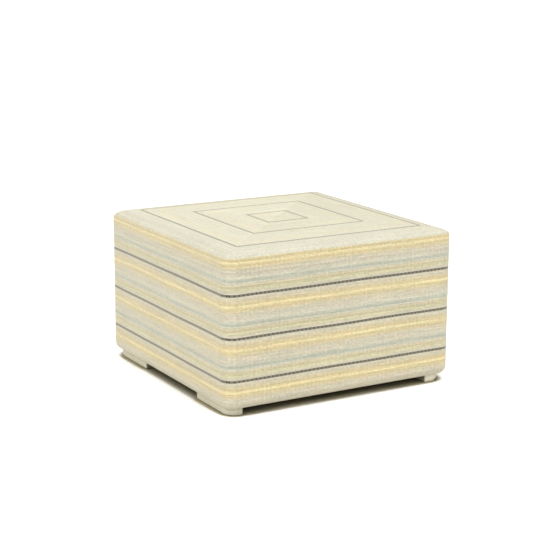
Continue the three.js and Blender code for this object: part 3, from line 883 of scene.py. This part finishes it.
# %% Wrap the feet
def foot_wrap(k, corner):
    low, high = foot_box(corner)
    radii, stitches_in = [FOOT_EASED] * 4, [2] * 4
    radii[k], stitches_in[k] = FOOT_CORNER[corner.split("_")[1]], CORNER_STITCHES
    points, outward = rounded_outline(low[:2], high[:2], radii, stitches_in)
    # Painted shade, carried to the finish as the weave's third number
    shade = painted_foot_shade(corner, outward, [low.x + high.x, low.y + high.y])
    profile = foot_profile(low.z - FOOT_HANG, high.z)
    rows = np.concatenate([np.arange(0, FOOT_ROWS + 0.25, 0.5), [FOOT_ROWS, FOOT_ROWS / 2, 2.5, 0.5]])
    along, rows = np.meshgrid(np.arange(len(points)) / POINTS_IN_STITCH, rows)
    on_face = np.arange(len(rows))[:, None] <= 2 * FOOT_ROWS
    inset, height, lean = skin_at(
        profile, rows / FOOT_ROWS * profile[0][-1], np.where(on_face, 0, FOOT_SOLE))
    raised = stitch_relief(along, rows, seed=20 + k) * on_face
    grid, straight = ring_points(points, outward, inset, height, lean, raised)
    normals = np.where(on_face[..., None], grid_normals(grid, straight), -straight)
    weave = np.stack([along, rows, 0 * rows + shade], -1)
    spread = np.linspace(0, 1, len(rows))[:, None] + 0 * along
    flat_map = np.stack([along / along.max(), spread], -1)
    faces = grid_faces(*grid.shape[:2], wraps=True)
    piece = mesh_object(f"foot_wrap_{corner}", grid, faces, weave, normals, flat_map, foot_finish)
    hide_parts(f"foot_weave_{corner}")
    return piece


wraps = [foot_wrap(k, corner) for k, corner in enumerate(CORNERS)]
print("faces in a foot wrap:", len(wraps[0].data.polygons))

# %% [markdown]
# ## Finishes of the frame
# The tubes, castings, strips, glides and screws keep their own shapes and get their finishes
# here. Small groups could be written for each material, but grain and soiling are the same idea
# everywhere, so one group of each serves them all with its own scale and strength.

# %% Node group: grain
def make_grain():
    group, given, result = new_group(
        "grain",
        [("Scale", "Float", 900.0), ("Stretch", "Vector", (1, 1, 1)), ("Contrast", "Float", 0.1)],
        [("Tone", "Float"), ("Height", "Float")],
    )
    coordinates = add_node(group, "ShaderNodeTexCoord")
    stretched = add_node(group, "ShaderNodeVectorMath", operation="MULTIPLY")
    feed(group, coordinates.outputs["Object"], stretched.inputs[0])
    feed(group, given["Stretch"], stretched.inputs[1])
    noise = add_node(group, "ShaderNodeTexNoise")
    feed(group, stretched.outputs[0], noise.inputs["Vector"])
    feed(group, given["Scale"], noise.inputs["Scale"])
    noise.inputs["Detail"].default_value = 3.0
    tone = sum_of(group, "ADD", 1.0, swing(group, noise.outputs[0], given["Contrast"]))
    feed(group, tone, result["Tone"])
    feed(group, noise.outputs[0], result["Height"])
    return group


grain = make_grain()

# %% Node group: soiling
SPOTS_IN_METRE, SPOT_STARTS, SPOT_FULL = 26.0, 0.42, 0.72


def make_soiling():
    group, given, result = new_group(
        "soiling",
        [("Clean", "Color"), ("Soiled", "Color"), ("Tone", "Float", 1.0), ("Amount", "Float", 0.3)],
        [("Colour", "Color"), ("Mask", "Float")],
    )
    coordinates = add_node(group, "ShaderNodeTexCoord")
    patches = add_node(group, "ShaderNodeTexNoise")
    feed(group, coordinates.outputs["Object"], patches.inputs["Vector"])
    patches.inputs["Scale"].default_value = SPOTS_IN_METRE
    patches.inputs["Detail"].default_value = 4.0
    spots = span(group, patches.outputs[0], SPOT_STARTS, SPOT_FULL, 0.0, 1.0)
    mask = sum_of(group, "MULTIPLY", spots, given["Amount"])
    grey = add_node(group, "ShaderNodeCombineColor")
    for socket in grey.inputs:
        feed(group, given["Tone"], socket)
    toned = mixed(group, 1.0, given["Clean"], grey.outputs[0], "MULTIPLY")
    feed(group, mixed(group, mask, toned, given["Soiled"]), result["Colour"])
    feed(group, mask, result["Mask"])
    return group


soiling = make_soiling()
print("groups:", [group.name for group in bpy.data.node_groups])

# %% [markdown]
# ## Materials of the frame
# Powder coat has a fine orange-peel skin, a sand casting is rough and dull, an extruded strip
# shows long draw lines, a moulded glide has a faint leathery grain, and a stainless screw has
# rings from turning. Each material is one call with its own numbers. Metal is left bare only
# where the real piece is.

# %% Materials of the frame
DUST = srgb(128, 116, 92)
ROUGHER_WHERE_SOILED = 0.35


def hard_material(
        name, clean, dirt_and_shade=DUST, *, scale, stretch=(1, 1, 1), contrast, depth, roughness, metallic=0.0,
        amount):
    material, tree, surface = new_material(name)
    texture = use_group(tree, grain, Scale=scale, Stretch=stretch, Contrast=contrast)
    dirt = use_group(tree, soiling, Clean=clean, Soiled=dirt_and_shade, Tone=texture["Tone"], Amount=amount)
    feed(tree, dirt["Colour"], surface.inputs["Base Color"])
    rough = sum_of(tree, "MULTIPLY_ADD", dirt["Mask"], ROUGHER_WHERE_SOILED, roughness, clamp=True)
    feed(tree, rough, surface.inputs["Roughness"])
    surface.inputs["Metallic"].default_value = metallic
    raise_surface(tree, surface, texture["Height"], strength=0.4, distance=depth)
    return material


FINISHES = {
    "frame": hard_material(
        "powder_coat", srgb(190, 182, 162), scale=1500, contrast=0.08, depth=0.0001,
        roughness=0.42, amount=0.35),
    "casting": hard_material(
        "sand_casting", srgb(160, 156, 146), scale=520, contrast=0.3, depth=0.0004,
        roughness=0.6, metallic=0.6, amount=0.4),
    "strip": hard_material(
        "drawn_strip", srgb(176, 174, 168), scale=260, stretch=(1, 1, 12), contrast=0.2, depth=0.0001,
        roughness=0.36, metallic=0.9, amount=0.25),
    "glide": hard_material(
        "moulded_glide", srgb(52, 46, 40), srgb(96, 86, 70), scale=700, contrast=0.2, depth=0.0002,
        roughness=0.55, amount=0.3),
    "screw": hard_material(
        "turned_screw", srgb(196, 196, 194), scale=420, stretch=(1, 1, 9), contrast=0.15, depth=0.0001,
        roughness=0.28, metallic=1.0, amount=0.2),
}
slot_of = {entry["node"]: entry["material_slot"] for entry in frame["record"]["subparts"]}
for name, piece in frame["nodes"].items():
    if slot_of[name] in FINISHES:
        for holder in piece.material_slots:
            holder.material = FINISHES[slot_of[name]]
print("finishes:", {slot: list(slot_of.values()).count(slot) for slot in FINISHES})

# %% [markdown]
# ## Softened edges on the frame
# No tube or plate has a knife edge, and a softened edge catches a thin line of light. The frame's
# meshes stay as they are: a Bevel modifier rounds what is drawn and leaves the mesh alone.

# %% Soften the frame's edges
SOFT_EDGE = {"frame": 0.0006, "casting": 0.0008, "strip": 0.0003, "glide": 0.0004, "screw": 0.0002}
SHARP = math.radians(50)
for name, piece in frame["nodes"].items():
    if slot_of[name] in SOFT_EDGE:
        bevel = piece.modifiers.new("softened", "BEVEL")
        bevel.width = SOFT_EDGE[slot_of[name]]
        bevel.segments = 2
        bevel.limit_method = "ANGLE"
        bevel.angle_limit = SHARP
print("nodes with softened edges:", sum(slot_of[name] in SOFT_EDGE for name in frame["nodes"]))

# %% [markdown]
# ## Studio
# The stool stands on a wide white floor under a plain white sky and three suns as broad as soft
# boxes: one overhead for the top, and two from the front, which give the sides a little shape.
# Together they light it so that colours show about as they are written. The floor could be lit
# until it burns out, but that would burn out the pale weave too. Instead the camera sees it
# whiter than the light does, so it reads as white paper. The shade under the stool is deep and
# warm, because what light gets there has come off tan strands. Bouncing that light truly takes a
# long render, so the floor's colour follows how much of the sky each spot of it sees.

# %% The floor's white paper
def seen_directly(tree):
    """1 for what the camera, a reflection or glass shows, 0 for what only gives light."""
    rays = add_node(tree, "ShaderNodeLightPath").outputs
    direct = sum_of(tree, "MAXIMUM", rays["Is Camera Ray"], rays["Is Glossy Ray"])
    return sum_of(tree, "MAXIMUM", direct, rays["Is Transmission Ray"])


FLOOR_COLOUR, FLOOR_SEEN = (0.83, 0.83, 0.82, 1), (1.5, 1.5, 1.5, 1)
EDGE_SHADE, DEEP_SHADE = (0.42, 0.375, 0.25, 1), (0.08, 0.07, 0.03, 1)
# Shares of the sky that a spot sees: deep under the stool, at its edge, and clear of it
DEEP, EDGE, CLEAR = 0.1, 0.42, 0.56
SHADE_REACH = 0.5


def floor_paper():
    paper, tree, _ = new_material("studio_floor")
    matt = add_node(tree, "ShaderNodeBsdfDiffuse")
    open_sky = add_node(tree, "ShaderNodeAmbientOcclusion")
    open_sky.inputs["Distance"].default_value = SHADE_REACH
    sky_share = open_sky.outputs["AO"]
    shade = mixed(tree, span(tree, sky_share, DEEP, EDGE, 0.0, 1.0), DEEP_SHADE, EDGE_SHADE)
    shown = mixed(tree, span(tree, sky_share, EDGE, CLEAR, 0.0, 1.0), shade, FLOOR_SEEN)
    feed(tree, mixed(tree, seen_directly(tree), FLOOR_COLOUR, shown), matt.inputs["Color"])
    feed(tree, matt.outputs[0], tree.nodes["Material Output"].inputs["Surface"])
    return paper


# %% Lay the floor
FLOOR_REACH = 40.0
floor_mesh = bpy.data.meshes.new("studio_floor")
floor_corners = [(x * FLOOR_REACH, y * FLOOR_REACH, 0) for x, y in ((-1, -1), (1, -1), (1, 1), (-1, 1))]
floor_mesh.from_pydata(floor_corners, [], [(0, 1, 2, 3)])
floor_mesh.materials.append(floor_paper())
floor = bpy.data.objects.new("studio_floor", floor_mesh)
bpy.context.scene.collection.objects.link(floor)
print("floor reaches", FLOOR_REACH, "m each way")

# %% Sky and suns
SKY_LIGHT = 0.42
SUN_WIDTH = math.radians(70)
world = bpy.data.worlds.new("studio")
bpy.context.scene.world = world
world.use_nodes = True
tree = world.node_tree
sky = tree.nodes["Background"]
sky.inputs["Color"].default_value = (1, 1, 1, 1)
bright = sum_of(tree, "MULTIPLY_ADD", seen_directly(tree), 1 - SKY_LIGHT, SKY_LIGHT)
feed(tree, bright, sky.inputs["Strength"])


def broad_sun(name, towards, strength):
    """A sun as wide as a big soft box. towards points from the stool to the lamp."""
    lamp = bpy.data.objects.new(name, bpy.data.lights.new(name, "SUN"))
    lamp.data.energy = strength
    lamp.data.angle = SUN_WIDTH
    lamp.rotation_mode = "QUATERNION"
    lamp.rotation_quaternion = Vector(towards).to_track_quat("Z", "Y")
    bpy.context.scene.collection.objects.link(lamp)


broad_sun("overhead", (0.0, 0.1, 1.0), strength=0.9)
broad_sun("left_front", (-0.8, -0.6, 0.8), strength=1.25)
broad_sun("right_front", (0.5, -0.9, 0.8), strength=0.6)
bpy.context.scene.view_settings.view_transform = "Standard"
